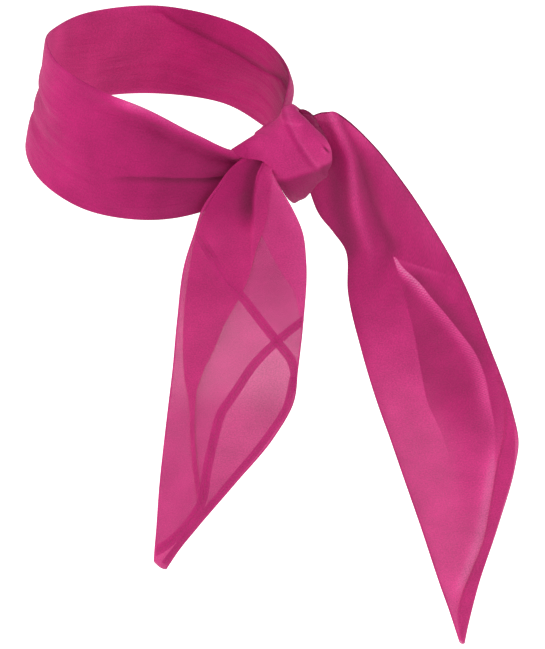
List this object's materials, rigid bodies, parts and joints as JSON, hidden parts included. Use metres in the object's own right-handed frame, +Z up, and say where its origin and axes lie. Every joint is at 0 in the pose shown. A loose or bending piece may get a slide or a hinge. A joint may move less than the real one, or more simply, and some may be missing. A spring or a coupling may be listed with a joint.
{
  "type": "tie-on chiffon headband scarf",
  "caption": "Sheer square scarf folded on the bias into a wide band, knotted into a head-sized ring, with two pointed hanging tails.",
  "frame": {"origin": "middle of the head opening, half-way up the band", "axes": "+Z up towards the crown, +X towards the knot's side, and the tails hang on the -Y side"},
  "size_m": [0.3451, 0.1843, 0.444],
  "materials": {
    "chiffon_band": "sheer chiffon in many plies, matt with a soft edge sheen",
    "chiffon_tail": "sheer chiffon in one to four plies, matt with a soft sheen",
    "hem": "narrow turned hem",
    "thread": "matching polyester thread"
  },
  "bodies": {
    "tied_band": {"band_inner_lay": "chiffon_band", "band_outer_lay": "chiffon_band", "knot_core": "chiffon_band", "knot_wrap": "chiffon_band", "short_tail_neck": "chiffon_band", "long_tail_neck": "chiffon_band"},
    "short_tail_upper": {"short_tail_upper_lay": "chiffon_tail", "short_tail_upper_flap": "chiffon_tail", "short_tail_upper_hem": "hem", "short_tail_upper_stitching": "thread"},
    "short_tail_lower": {"short_tail_lower_lay": "chiffon_tail", "short_tail_lower_flap": "chiffon_tail", "short_tail_lower_hem": "hem", "short_tail_lower_stitching": "thread"},
    "long_tail_upper": {"long_tail_upper_lay": "chiffon_tail", "long_tail_upper_flap": "chiffon_tail", "long_tail_upper_hem": "hem", "long_tail_upper_stitching": "thread"},
    "long_tail_lower": {"long_tail_lower_lay": "chiffon_tail", "long_tail_lower_flap": "chiffon_tail", "long_tail_lower_hem": "hem", "long_tail_lower_stitching": "thread"}
  },
  "joints": [
    {"name": "short_tail_swing", "type": "hinge", "parent": "tied_band", "child": "short_tail_upper", "pos_m": [0.066, -0.09398, -0.024], "axis": [-1, 0, 0], "range_deg": [0, 75]},
    {"name": "short_tail_curl", "type": "hinge", "parent": "short_tail_upper", "child": "short_tail_lower", "pos_m": [0.057, -0.09406, -0.15], "axis": [-1, 0, 0], "range_deg": [-60, 60]},
    {"name": "long_tail_swing", "type": "hinge", "parent": "tied_band", "child": "long_tail_upper", "pos_m": [0.147, -0.05997, -0.05], "axis": [-1, 0, 0], "range_deg": [0, 75]},
    {"name": "long_tail_curl", "type": "hinge", "parent": "long_tail_upper", "child": "long_tail_lower", "pos_m": [0.196, -0.06002, -0.19], "axis": [-1, 0, 0], "range_deg": [-60, 60]}
  ]
}
